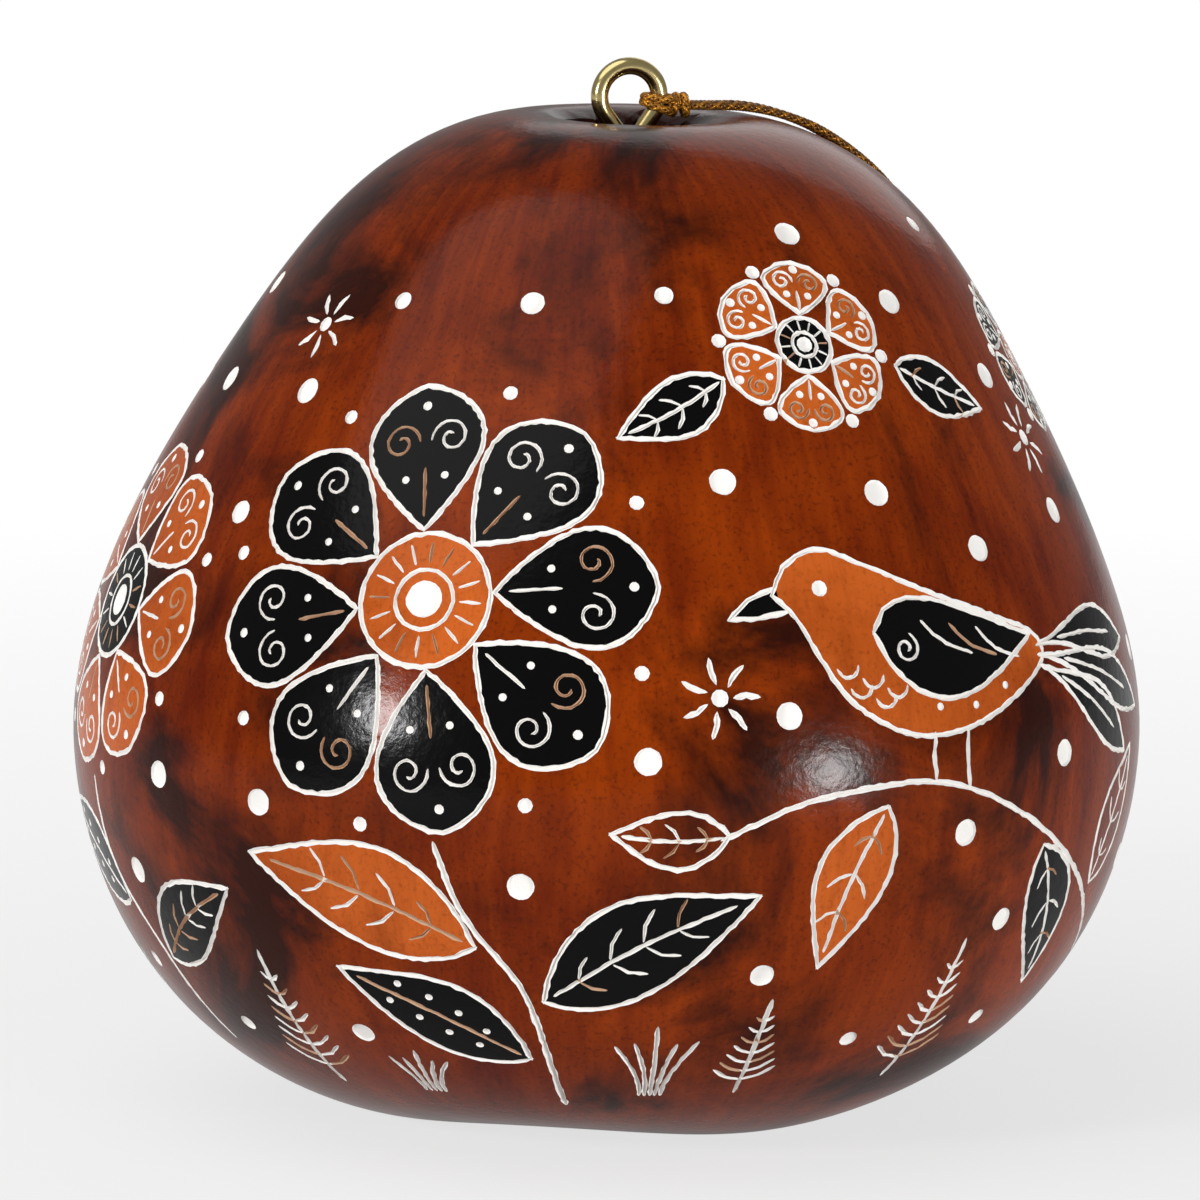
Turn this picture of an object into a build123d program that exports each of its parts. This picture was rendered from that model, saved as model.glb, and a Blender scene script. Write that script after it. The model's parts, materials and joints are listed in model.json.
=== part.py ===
from build123d import *
import math
import os

# Millimetres, +Z up. The origin lies on the rest plane under the middle of the belly, and the front faces -Y.

# Meridian of the gourd, from the blossom scar underneath, out over the belly and up to the stem dimple.
# Below the crown, the points of its upper half are given by their drop from it.
blossom_scar_radius = 1.5
blossom_scar_height = 1.0
base_ring_radius = 12.0
sole_radius = 21.5
sole_height = 1.5
heel_radius = 31.9
heel_height = 8.2
belly_radius = 40.0
belly_height = 29.0
flank_radius = 34.5
flank_drop = 27.1
shoulder_radius = 24.0
shoulder_drop = 9.6
brow_radius = 13.2
brow_drop = 1.2
crown_radius = 8.2
crown_height = 74.6
dimple_depth = 2.3
wall = 3.0

# The stem end leans and tips to +X above a height, and the underside stands on lobes worn flat
lean = 2.1
lean_tilt = 1.6
lean_start_height = 38.0
lobe_count = 3
lobe_azimuth = -45.0
lobe_lift = 1.2
lobe_height = 14.0
foot_wear = 0.3

# Woody core of the stem, sunk a little below the floor of the dimple
stem_radius = 3.0
stem_length = 9.0
stem_offset = -0.4
stem_sink = 0.8
stem_gap = 0.05

# Screw eye, bent from one wire
wire_diameter = 1.3
ring_radius = 2.26
ring_centre_rise = 1.45
neck_drop = 3.9
neck_bend_radius = 1.6
shank_length = 7.5
point_length = 2.0
point_radius = 0.15
ring_end_gap = 0.1
ring_azimuth = 12.0
bore_gap = 0.03

# Hanging cord, hitched to the right side of the ring with two turns and a knot
cord_diameter = 0.7
cord_sides = 8
hitch_gap = 0.1
hitch_angle = -13.0
hitch_turn_step = 17.0
knot_gap = 0.2
knot_slope = -2.0
knot_radius = 0.82
knot_length = 1.5
knot_turns = 2
knot_swell = 0.2
knot_shoulder_share = 0.3
strand_spacing = 0.84
exit_run = 1.9
bend_share = 0.45

# Route of the cord's middle past the knot: over the shoulder, down to the bight and back.
# Each point has its place in plan and its drop from the crown.
loop_points = [
    (10.4, 2.7, -0.4),
    (13.3, 5.0, 0.4),
    (16.7, 7.2, 2.0),
    (20.9, 9.2, 5.5),
    (23.9, 11.4, 10.1),
    (26.5, 13.1, 15.1),
    (28.9, 14.8, 20.6),
    (31.0, 16.5, 26.1),
    (33.0, 17.7, 31.6),
    (34.7, 18.8, 37.6),
    (35.7, 19.5, 43.4),
    (36.0, 19.9, 48.8),
    (35.6, 21.0, 53.4),
    (34.6, 22.7, 55.9),
    (33.1, 24.9, 56.1),
    (31.9, 26.2, 53.7),
    (31.6, 26.3, 49.0),
    (31.9, 25.3, 43.4),
    (31.5, 23.8, 37.6),
    (30.4, 21.9, 31.6),
    (29.1, 19.6, 26.1),
    (27.4, 17.2, 20.6),
    (25.5, 14.9, 15.1),
    (23.3, 12.6, 10.1),
    (20.5, 10.0, 5.5),
    (16.1, 8.0, 1.9),
    (12.7, 5.9, 0.3),
    (10.0, 3.5, -0.5),
]

# Loose seeds on the floor of the cavity, in two rings, each at a share of the meridian
seed_length = 9.0
seed_width = 4.6
seed_tip_width = 2.4
seed_thickness = 1.8
seed_chamfer = 0.5
seed_clearance = 0.55
inner_seed_count = 4
inner_seed_share = 0.05
outer_seed_count = 8
outer_seed_share = 0.14
seed_twist = 35.0
seed_twist_step = 137.5

# Fineness of the gourd's sections
section_count = 14
section_points = 24

dimple_floor = crown_height - dimple_depth
stem_top = dimple_floor - stem_sink
stem_x = lean + stem_offset
wire_radius = wire_diameter / 2
cord_radius = cord_diameter / 2
ring_height = crown_height + ring_centre_rise

meridian = Spline(
    (blossom_scar_radius, blossom_scar_height),
    (base_ring_radius, -foot_wear),
    (sole_radius, sole_height),
    (heel_radius, heel_height),
    (belly_radius, belly_height),
    (flank_radius, crown_height - flank_drop),
    (shoulder_radius, crown_height - shoulder_drop),
    (brow_radius, crown_height - brow_drop),
    (crown_radius, crown_height),
    (blossom_scar_radius, dimple_floor),
    tangents=[(1, 0), (-1, 0)],
)


def meridian_point(fraction, inset):
    """Radius and height at a fraction of the meridian, moved square into the wall by the inset."""
    point = meridian @ fraction
    direction = meridian % fraction
    return point.X - inset * direction.Y, point.Y + inset * direction.X


def lean_share(height):
    """Share of the stem end's lean, which eases in from the start height to the crown."""
    share = (height - lean_start_height) / (crown_height - lean_start_height)
    share = min(max(share, 0.0), 1.0)
    return math.sin(share * math.pi / 2) ** 2


def lobe_lift_at(radius, height, azimuth):
    """Rise of the underside between two lobes, fading out towards the blossom scar and up the belly."""
    inwards = (radius - blossom_scar_radius) / (base_ring_radius - blossom_scar_radius)
    upwards = 1 - height / lobe_height
    share = min(max(inwards, 0.0), 1.0) * max(upwards, 0.0) ** 2
    wave = math.cos(math.radians(lobe_count * (azimuth - lobe_azimuth)))
    return lobe_lift * share * (1 - wave) / 2


def gourd_section(fraction, inset, lobed):
    """Closed section of the gourd at a fraction of the meridian."""
    radius, height = meridian_point(fraction, inset)
    share = lean_share(height)
    points = []
    for index in range(section_points):
        azimuth = 360 * index / section_points
        across = radius * math.cos(math.radians(azimuth))
        depth = radius * math.sin(math.radians(azimuth))
        rise = lobe_lift_at(radius, height, azimuth) if lobed else 0.0
        drop = share * across * math.tan(math.radians(lean_tilt))
        points.append((share * lean + across, depth, height + rise - drop))
    return Wire([Spline(points, periodic=True)])


def gourd_body(inset, lobed):
    """Solid body of the gourd, as large as its skin or set in by the wall."""
    fractions = [index / section_count for index in range(section_count + 1)]
    return Solid.make_loft([gourd_section(fraction, inset, lobed) for fraction in fractions])


def build_stem_core():
    """Stump of the stem with the bore that the screw has cut in it."""
    core = Pos(stem_x, 0, stem_top - stem_length / 2) * Cylinder(stem_radius, stem_length)
    core = chamfer(core.edges().group_by(Axis.Z)[0], stem_radius / 3)
    bore_radius = wire_radius + bore_gap
    bore = Pos(stem_x, 0, stem_top - shank_length / 2) * Cylinder(bore_radius, shank_length)
    tip = Pos(stem_x, 0, stem_top - shank_length) * Cone(
        point_radius + bore_gap,
        bore_radius,
        point_length,
        align=(Align.CENTER, Align.CENTER, Align.MAX),
    )
    return core - bore - tip


def build_gourd_shell():
    """Hollow shell, open only where the stem core sits, with its lobes worn flat on the rest plane."""
    shell = gourd_body(0.0, True) - gourd_body(wall, False)
    hole_length = 2 * stem_length
    hole = Pos(stem_x, 0, stem_top) * Cylinder(stem_radius + stem_gap, hole_length)
    return split(shell - hole, Plane.XY, keep=Keep.TOP)


def ring_plane():
    """Upright plane of the ring: its x runs to the hitch side and its y runs up."""
    turn = math.radians(ring_azimuth)
    across = (math.cos(turn), math.sin(turn), 0)
    facing = (math.sin(turn), -math.cos(turn), 0)
    return Plane(origin=(stem_x, 0, ring_height), x_dir=across, z_dir=facing)


def build_screw_eye():
    """One wire: pointed shank, bend at the neck, ring, and a free end that closes against the neck."""
    slant = math.degrees(math.asin(ring_radius / neck_drop))
    side = math.sqrt(neck_drop**2 - ring_radius**2)
    sine = math.sin(math.radians(slant))
    cosine = math.cos(math.radians(slant))
    neck = Vector(0, -neck_drop)
    shank_end = Vector(0, stem_top - shank_length - ring_height)
    ring_start = neck + Vector(-sine, cosine) * side
    lower = FilletPolyline(shank_end, neck, ring_start, radius=neck_bend_radius)
    ring = JernArc(ring_start, (-sine, cosine), ring_radius, -(180 + 2 * slant))
    clear = wire_radius + ring_end_gap + wire_radius * math.cos(math.radians(2 * slant))
    free_end = neck + Vector(sine, cosine) * (clear / math.sin(math.radians(2 * slant)))
    path = ring_plane() * Wire([*lower.edges(), ring, Line(ring @ 1, free_end)])
    wire = sweep(Plane(origin=path @ 0, z_dir=path % 0) * Circle(wire_radius), path)
    point = Pos(path @ 0) * Cone(
        point_radius,
        wire_radius,
        point_length,
        align=(Align.CENTER, Align.CENTER, Align.MAX),
    )
    return wire + point


def ring_direction(angle):
    """Direction at an angle round the ring, from its level outer side towards the top."""
    plane = ring_plane()
    return plane.x_dir * math.cos(math.radians(angle)) + plane.y_dir * math.sin(math.radians(angle))


def turn_plane(angle):
    """Plane across the ring's wire at an angle, with the wire's middle at its origin."""
    plane = ring_plane()
    outwards = ring_direction(angle)
    return Plane(plane.origin + outwards * ring_radius, x_dir=outwards, z_dir=plane.z_dir.cross(outwards))


def knot_plane():
    """Plane at the knot's near end: its x runs along the knot to where the strands leave it."""
    reach = ring_radius + wire_radius + knot_gap
    near_end = ring_plane().origin + ring_direction(hitch_angle) * reach
    return Plane(near_end, x_dir=ring_direction(knot_slope), z_dir=ring_plane().z_dir)


def build_cord_knot():
    """Turns of cord round the ring's wire, and the knot beside them."""
    bulge = knot_length / knot_turns
    outline = [(0, 0)]
    for index in range(knot_turns):
        outline.append((index * bulge, knot_radius))
        outline.append(((index + knot_shoulder_share) * bulge, knot_radius + knot_swell))
        outline.append(((index + 1 - knot_shoulder_share) * bulge, knot_radius + knot_swell))
    outline += [(knot_length, knot_radius), (knot_length, 0)]
    knot = knot_plane() * revolve(make_face(Polyline(outline, close=True)), Axis.X)
    turn_radius = wire_radius + hitch_gap + cord_radius
    turn = revolve(Pos(turn_radius, 0) * cord_section(), Axis.Y)
    for side in (-0.5, 0.5):
        knot += turn_plane(hitch_angle + side * hitch_turn_step) * Rot(90, 0, 0) * turn
    return knot


def cord_section():
    """Section of the cord, flat-sided like the braid."""
    return RegularPolygon(cord_radius, cord_sides)


def strand_exit(side):
    """Middle of one strand on the far end of the knot, and the end of its straight first run."""
    plane = knot_plane()
    start = plane.origin + plane.x_dir * knot_length - plane.z_dir * side * strand_spacing
    return start, start + plane.x_dir * exit_run


def corner_radii(points):
    """Largest even bend at each inner point of a route."""
    radii = []
    for before, corner, after in zip(points, points[1:], points[2:]):
        turn = (corner - before).get_angle(after - corner)
        shorter = min((corner - before).length, (after - corner).length)
        radii.append(bend_share * shorter / math.tan(math.radians(turn / 2)))
    return radii


def build_cord_loop():
    """One strand from the knot over the back right shoulder, round its bight and back to the knot."""
    near_start, near_run = strand_exit(-0.5)
    far_start, far_run = strand_exit(0.5)
    middle = [Vector(x, y, crown_height - drop) for x, y, drop in loop_points]
    points = [near_start, near_run, *middle, far_run, far_start]
    radii = corner_radii(points)
    path = Wire(FilletPolyline(*points, radius=radii).edges())
    section = Plane(origin=path @ 0, z_dir=path % 0) * cord_section()
    loop = sweep(section, path)
    print("cord length", round(path.length, 1), "bend radii", [round(radius, 1) for radius in radii])
    print("cord volume", round(loop.volume, 2), "section times length", round(section.area * path.length, 2))
    return loop


def build_seed():
    """Flat seed with a narrow tip and a square-shouldered wide end, lying on its face at the origin."""
    half_outline = [
        (-seed_length / 2, seed_tip_width / 2),
        (seed_length / 3, seed_width / 2),
        (seed_length / 2, seed_width / 3),
    ]
    other_half = [(x, -y) for x, y in reversed(half_outline)]
    seed = extrude(make_face(Polyline(*half_outline, *other_half, close=True)), seed_thickness)
    faces = seed.faces().sort_by(Axis.Z)
    return chamfer([*faces[0].edges(), *faces[-1].edges()], seed_chamfer)


def floor_plane(fraction, azimuth):
    """Plane on the cavity's floor at a fraction of the meridian: its x runs outwards, up the slope."""
    radius, height = meridian_point(fraction, wall)
    direction = meridian % fraction
    turn = math.radians(azimuth)
    outwards = Vector(math.cos(turn), math.sin(turn), 0)
    slope = outwards * direction.X + Vector(0, 0, direction.Y)
    normal = Vector(0, 0, direction.X) - outwards * direction.Y
    return Plane(outwards * radius + Vector(0, 0, height), x_dir=slope, z_dir=normal)


def build_dried_seeds():
    """Seeds in two loose rings on the cavity's floor, each turned a little its own way."""
    seed = build_seed()
    seeds = []
    for count, fraction in ((inner_seed_count, inner_seed_share), (outer_seed_count, outer_seed_share)):
        for index in range(count):
            plane = floor_plane(fraction, 360 * index / count)
            twist = seed_twist * math.sin(math.radians(seed_twist_step * (index + count)))
            seeds.append(plane * Pos(0, 0, seed_clearance) * Rot(0, 0, twist) * seed)
    return Compound(children=seeds)


part_nodes = {
    "gourd_shell": build_gourd_shell(),
    "stem_core": build_stem_core(),
    "screw_eye": build_screw_eye(),
    "cord_knot": build_cord_knot(),
    "cord_loop": build_cord_loop(),
    "dried_seeds": build_dried_seeds(),
}

os.makedirs("parts", exist_ok=True)
for name, shape in part_nodes.items():
    export_step(shape, f"parts/{name}.step")
    print(name, round(shape.volume, 2), shape.is_valid)
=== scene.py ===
import json
import math
import random

import bpy
import numpy as np
from bpy.props import FloatProperty, FloatVectorProperty, IntProperty, PointerProperty
from mathutils import Matrix, Vector
from mathutils.bvhtree import BVHTree
from mathutils.kdtree import KDTree

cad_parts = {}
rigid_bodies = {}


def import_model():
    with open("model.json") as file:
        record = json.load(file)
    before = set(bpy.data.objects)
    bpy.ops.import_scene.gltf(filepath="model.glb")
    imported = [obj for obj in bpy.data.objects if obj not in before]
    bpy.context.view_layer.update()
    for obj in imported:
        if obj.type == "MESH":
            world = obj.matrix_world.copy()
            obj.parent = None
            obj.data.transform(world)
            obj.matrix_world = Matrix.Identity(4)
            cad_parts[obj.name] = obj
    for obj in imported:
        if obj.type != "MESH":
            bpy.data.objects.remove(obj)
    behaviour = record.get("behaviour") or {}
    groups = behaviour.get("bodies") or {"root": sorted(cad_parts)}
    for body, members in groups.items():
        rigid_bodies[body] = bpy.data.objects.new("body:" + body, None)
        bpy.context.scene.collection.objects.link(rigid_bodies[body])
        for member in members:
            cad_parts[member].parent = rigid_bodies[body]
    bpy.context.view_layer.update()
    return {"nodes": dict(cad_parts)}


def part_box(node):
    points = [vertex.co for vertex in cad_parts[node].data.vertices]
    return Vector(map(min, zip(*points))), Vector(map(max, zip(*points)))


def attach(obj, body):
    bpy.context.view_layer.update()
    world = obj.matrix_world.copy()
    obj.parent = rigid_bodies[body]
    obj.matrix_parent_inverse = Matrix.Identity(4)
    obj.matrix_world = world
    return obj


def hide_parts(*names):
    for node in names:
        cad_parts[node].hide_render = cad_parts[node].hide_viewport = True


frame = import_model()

bl_info = {
    "name": "Carved Gourd Ornament",
    "version": (1, 0, 0),
    "blender": (4, 5, 0),
    "location": "3D View > Sidebar > Gourd",
    "description": "Dresses the packed gourd ornament with carved skin, stem, brass eye, cord and studio",
    "category": "Object",
}

MM = 0.001
UP = Vector((0.0, 0.0, 1.0))
WHITE = (1.0, 1.0, 1.0, 1.0)

# The gourd's heart, from which all of its skin can be seen, and the height where its crown starts
HEART = Vector((0.0, 0.0, 34.0)) * MM
CROWN = 60.0 * MM

# The stem's axis, top and hole, the drill for the hole, and the crown's faces that count as the stem's own
STEM = Vector((1.7, 0.0)) * MM
STEM_TOP = 71.5 * MM
STEM_HOLE = 3.05 * MM
DRILL_LENGTH = 16.0 * MM
STEM_FACES = 2.5 * STEM_HOLE


class GourdSkinSettings(bpy.types.PropertyGroup):
    """Sizes and colours of the carved skin."""

    amber: FloatVectorProperty(
        name="Amber", description="Lightest stain", subtype="COLOR", default=(0.26, 0.034, 0.0010)
    )
    russet: FloatVectorProperty(
        name="Russet", description="Middle stain", subtype="COLOR", default=(0.112, 0.0095, 0.0005)
    )
    umber: FloatVectorProperty(
        name="Umber", description="Smoked patches", subtype="COLOR", default=(0.013, 0.0018, 0.0006)
    )
    black: FloatVectorProperty(
        name="Black", description="Scorched fields", subtype="COLOR", default=(0.002, 0.0019, 0.002)
    )
    orange: FloatVectorProperty(
        name="Orange", description="Scraped fields", subtype="COLOR", default=(0.56, 0.115, 0.016)
    )
    flesh: FloatVectorProperty(
        name="Flesh", description="Deep cuts", subtype="COLOR", default=(0.90, 0.88, 0.85)
    )
    tan: FloatVectorProperty(
        name="Tan", description="Shallow cuts", subtype="COLOR", default=(0.58, 0.38, 0.25)
    )
    line_width: FloatProperty(
        name="Line width", description="Width of a cut line", unit="LENGTH", default=0.39 * MM
    )
    line_depth: FloatProperty(
        name="Line depth", description="Depth of a cut line", unit="LENGTH", default=0.3 * MM
    )
    waver: FloatProperty(
        name="Waver", description="Step at which the blade wavers", unit="LENGTH", default=0.5 * MM
    )
    dot_radius: FloatProperty(
        name="Dot radius", description="Radius of a drilled dot", unit="LENGTH", default=1.05 * MM
    )
    seed: IntProperty(name="Hand", description="Seed of the carver's unsteady hand", default=7)


class GourdCordSettings(bpy.types.PropertyGroup):
    """Sizes and colours of the braided cord and the eye."""

    diameter: FloatProperty(name="Diameter", description="Cord diameter", unit="LENGTH", default=0.7 * MM)
    pitch: FloatProperty(
        name="Pitch", description="Length of one turn of a yarn", unit="LENGTH", default=2.6 * MM
    )
    gold: FloatVectorProperty(
        name="Gold yarn", description="Bright yarn", subtype="COLOR", default=(0.60, 0.25, 0.02)
    )
    bronze: FloatVectorProperty(
        name="Bronze yarn", description="Dark yarn", subtype="COLOR", default=(0.06, 0.022, 0.006)
    )
    brass: FloatVectorProperty(
        name="Brass", description="Screw eye", subtype="COLOR", default=(0.68, 0.55, 0.25)
    )


def settings():
    """Skin and cord settings of the scene."""
    return bpy.context.scene.gourd_skin, bpy.context.scene.gourd_cord


# Objects and meshes

# Angles over which edges stay sharp
SKIN_CREASE = math.radians(28.0)
WIRE_CREASE = math.radians(40.0)


def link_new(name, data):
    """New object in the scene that shows some data."""
    made = bpy.data.objects.new(name, data)
    bpy.context.scene.collection.objects.link(made)
    return made


def new_curve(name, kind, places):
    """Curve object through places, and its spline."""
    line = bpy.data.curves.new(name, "CURVE")
    line.dimensions = "3D"
    spline = line.splines.new(kind)
    spline.points.add(len(places) - 1)
    for point, place in zip(spline.points, places):
        point.co = (*place, 1.0)
    return link_new(name, line), spline


def only(piece):
    """Makes one object the only selected one, and the active one."""
    bpy.ops.object.select_all(action="DESELECT")
    piece.select_set(True)
    bpy.context.view_layer.objects.active = piece


def edit(piece, *steps):
    """Runs mesh operators, each with its choices, on the whole of a piece."""
    only(piece)
    bpy.ops.object.mode_set(mode="EDIT")
    bpy.ops.mesh.select_all(action="SELECT")
    for step, choices in steps:
        step(**choices)
    bpy.ops.object.mode_set(mode="OBJECT")


def settle(name):
    """Names the object just added and gives its mesh the place where it was added."""
    piece = bpy.context.active_object
    piece.name = name
    bpy.ops.object.transform_apply(location=True, rotation=False, scale=False)
    return piece


def triples(items, key):
    """Rows of a three-number property of a mesh's vertices or faces."""
    values = np.empty(len(items) * 3)
    items.foreach_get(key, values)
    return values.reshape(-1, 3)


# Materials

# Noises of the skin: what they follow, scale per metre or turn, detail, roughness and distortion
SKIN_NOISES = {
    "clouds": ("where", 42.0, 3.0, 0.55, 0.5),
    "smoke": ("where", 62.0, 5.0, 0.6, 0.7),
    "streaks": ("fine", 1.0, 3.0, 0.6, 0.0),
    "bands": ("coarse", 1.0, 3.0, 0.6, 0.3),
    "flecks": ("where", 2900.0, 2.0, 0.6, 0.0),
    "bits": ("where", 650.0, 2.0, 0.6, 0.0),
}
FINE_STREAKS = (105.0, 105.0, 13.0)
COARSE_STREAKS = (16.0, 16.0, 4.0)

# Stains in the order they are laid: noise, its values where the share starts and ends, both shares, colour
SKIN_STAINS = (
    ("streaks", 0.5, 0.8, 0.0, 0.14, "umber"),
    ("streaks", 0.2, 0.42, 0.12, 0.0, "amber"),
    ("smoke", 0.47, 0.64, 0.0, 0.92, "umber"),
    ("flecks", 0.52, 0.78, 0.0, 0.5, "umber"),
)
ORANGE_STAINS = (
    ("smoke", 0.4, 0.75, 0.0, 0.75, "amber"),
    ("streaks", 0.5, 0.8, 0.0, 0.2, "russet"),
    ("flecks", 0.52, 0.78, 0.0, 0.4, "russet"),
    ("bands", 0.55, 0.75, 0.0, 0.35, "russet"),
)

# Light and dark of the stain: shares of clouds and bands, and the values between which it turns amber
CLOUD_SHARE, BAND_SHARE = 0.6, 0.4
LIGHT_ENDS = (0.38, 0.62)

# Scorch and crumbs at the stem: how ragged they are, the distances over which they fade, and their shares
RAGGED = (0.3, 0.7, -1.5 * MM, 1.5 * MM)
SCORCH = (4.8 * MM, 9.5 * MM, 0.94, 0.0)
CRUMBS = (4.5 * MM, 6.5 * MM, 0.5, 0.0)
CRUMB_ENDS = (0.56, 0.66)
CROWN_FADE = 6.0 * MM
CRUMB_GREY = (0.16, 0.14, 0.13)

# Varnish: its shine, its roughness on the skin and on fields, and its leathery grain
VARNISH_SHINE = 0.11
SKIN_ROUGHNESS = (0.3, 0.7, 0.14, 0.21)
FIELD_ROUGHNESS = 0.16
GRAIN = (1500.0, 3.0, 0.55)
GRAIN_STRENGTH = 0.2
GRAIN_HEIGHT = 0.12 * MM

# Other finishes: noise scales per metre, with the values and shares that they turn into
FLESH_GRAIN = 3500.0
BRASS_CLOUDS = (900.0, 3.0, 0.6)
BRASS_DULL = (0.45, 0.8, 0.0, 0.5)
BRASS_SHADE = (0.30, 0.22, 0.08)
BRASS_ROUGHNESS = (0.3, 0.8, 0.14, 0.28)
DRAWING_MARKS = 4000.0
YARN_GLINTS = 5000.0
YARN_DARK = (0.55, 0.8, 0.0, 0.6)
YARN_ROUGHNESS = (0.3, 0.7, 0.25, 0.5)
CORK = {
    "grain": (1400.0, 5.0, 0.7),
    "ends": (0.42, 0.72),
    "colours": ((0.018, 0.011, 0.008), (0.17, 0.13, 0.10)),
    "bump": (0.7, 0.3 * MM),
    "roughness": 0.85,
}
HUSK = {
    "grain": (600.0, 4.0, 0.6),
    "ends": (0.4, 0.7),
    "colours": ((0.62, 0.50, 0.32), (0.36, 0.24, 0.12)),
    "bump": (0.3, 0.2 * MM),
    "roughness": 0.7,
}


def give(tree, node, inputs):
    """Sets a node's inputs to values or to other nodes' sockets."""
    for key, value in inputs.items():
        if isinstance(value, bpy.types.NodeSocket):
            tree.links.new(value, node.inputs[key])
        else:
            node.inputs[key].default_value = value


def add(tree, kind, inputs=None, **choices):
    """Outputs of a new node with its inputs and choices set."""
    made = tree.nodes.new("ShaderNode" + kind)
    for key, value in choices.items():
        setattr(made, key, value)
    give(tree, made, inputs or {})
    return made.outputs


def new_finish(name):
    """Node material, its tree and the place on the object."""
    finish = bpy.data.materials.new(name)
    finish.use_nodes = True
    return finish, finish.node_tree, add(finish.node_tree, "TexCoord")["Object"]


def finished(finish, inputs):
    """Material with its main shader's inputs set."""
    give(finish.node_tree, finish.node_tree.nodes["Principled BSDF"], inputs)
    return finish


def rgba(colour):
    """Colour with full opacity."""
    return (*colour, 1.0)


def noise(tree, where, scale, detail=2.0, roughness=0.5, distortion=0.0):
    """Noise value at a scale per metre."""
    shape = {"Scale": scale, "Detail": detail, "Roughness": roughness, "Distortion": distortion}
    return add(tree, "TexNoise", {"Vector": where, **shape})["Fac"]


def between(tree, value, low, high, start=0.0, end=1.0):
    """Value mapped and held between two ends."""
    inputs = {"Value": value, "From Min": low, "From Max": high, "To Min": start, "To Max": end}
    return add(tree, "MapRange", inputs)["Result"]


def mixed(tree, share, first, second):
    """Mix of two colours."""
    return add(tree, "MixRGB", {"Fac": share, "Color1": first, "Color2": second})["Color"]


def sums(tree, operation, first, second):
    """Result of a sum on two values."""
    return add(tree, "Math", {0: first, 1: second}, operation=operation)["Value"]


def size_of(tree, vector):
    """Length of a vector."""
    return add(tree, "VectorMath", {0: vector}, operation="LENGTH")["Value"]


def combined(tree, **axes):
    """Vector of values on its axes."""
    return add(tree, "CombineXYZ", axes)["Vector"]


def bumped(tree, height, strength, distance):
    """Normal roughened by a height."""
    return add(tree, "Bump", {"Strength": strength, "Distance": distance, "Height": height})["Normal"]


def skin_noises(tree, where):
    """Values that the skin's finishes share: where a point is, and each noise there."""
    place = add(tree, "SeparateXYZ", {"Vector": where})
    flat = combined(tree, X=place["X"], Y=place["Y"])
    polar = sums(tree, "ARCTAN2", size_of(tree, flat), sums(tree, "SUBTRACT", place["Z"], HEART.z))
    outwards = add(tree, "VectorMath", {0: flat}, operation="NORMALIZE")["Vector"]
    turned = add(tree, "SeparateXYZ", {"Vector": outwards})
    meridian = combined(tree, X=turned["X"], Y=turned["Y"], Z=polar)
    tracks = {
        "where": where,
        "fine": add(tree, "Mapping", {"Vector": meridian, "Scale": FINE_STREAKS})["Vector"],
        "coarse": add(tree, "Mapping", {"Vector": meridian, "Scale": COARSE_STREAKS})["Vector"],
    }
    maps = {name: noise(tree, tracks[track], *shape) for name, (track, *shape) in SKIN_NOISES.items()}
    return place, maps


def stained(tree, tone, maps, stains):
    """Colour with stains laid over it in turn."""
    skin, _ = settings()
    for name, low, high, first, last, colour in stains:
        share = between(tree, maps[name], low, high, first, last)
        tone = mixed(tree, share, tone, rgba(getattr(skin, colour)))
    return tone


def varnished(tree, where, roughness):
    """Shader inputs of the varnish with its leathery grain."""
    grain = bumped(tree, noise(tree, where, *GRAIN), GRAIN_STRENGTH, GRAIN_HEIGHT)
    return {"Roughness": roughness, "Specular IOR Level": VARNISH_SHINE, "Normal": grain}


def skin_finish():
    """Red-brown stain under varnish: smoked in patches, streaked downwards and scorched at the stem."""
    skin, _ = settings()
    finish, tree, where = new_finish("skin_varnish")
    place, maps = skin_noises(tree, where)
    clouds = sums(tree, "MULTIPLY", maps["clouds"], CLOUD_SHARE)
    bands = sums(tree, "MULTIPLY", maps["bands"], BAND_SHARE)
    light = between(tree, sums(tree, "ADD", clouds, bands), *LIGHT_ENDS)
    tone = mixed(tree, light, rgba(skin.russet), rgba(skin.amber))
    tone = stained(tree, tone, maps, SKIN_STAINS)
    reach = size_of(tree, combined(tree, X=sums(tree, "SUBTRACT", place["X"], STEM.x), Y=place["Y"]))
    ragged = sums(tree, "ADD", reach, between(tree, maps["smoke"], *RAGGED))
    crown = between(tree, place["Z"], CROWN, CROWN + CROWN_FADE)
    scorch = sums(tree, "MULTIPLY", between(tree, ragged, *SCORCH), crown)
    tone = mixed(tree, scorch, tone, rgba(skin.umber))
    near = between(tree, ragged, *CRUMBS)
    crumbs = sums(tree, "MULTIPLY", between(tree, maps["bits"], *CRUMB_ENDS), near)
    tone = mixed(tree, sums(tree, "MULTIPLY", crumbs, crown), tone, rgba(CRUMB_GREY))
    roughness = between(tree, maps["smoke"], *SKIN_ROUGHNESS)
    return finished(finish, {"Base Color": tone, **varnished(tree, where, roughness)})


def field_finish(name, colour, stains=()):
    """Field of one colour, with its stains if it has any, under the same varnish."""
    finish, tree, where = new_finish(name)
    tone = rgba(colour)
    if stains:
        _, maps = skin_noises(tree, where)
        tone = stained(tree, tone, maps, stains)
    return finished(finish, {"Base Color": tone, **varnished(tree, where, FIELD_ROUGHNESS)})


def flesh_finish(name, colour):
    """Raw flesh bared by the blade, dry and torn."""
    finish, tree, where = new_finish(name)
    return finished(finish, {
        "Base Color": rgba(colour),
        "Roughness": 0.85,
        "Specular IOR Level": 0.2,
        "Normal": bumped(tree, noise(tree, where, FLESH_GRAIN), 0.4, 0.1 * MM),
    })


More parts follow.
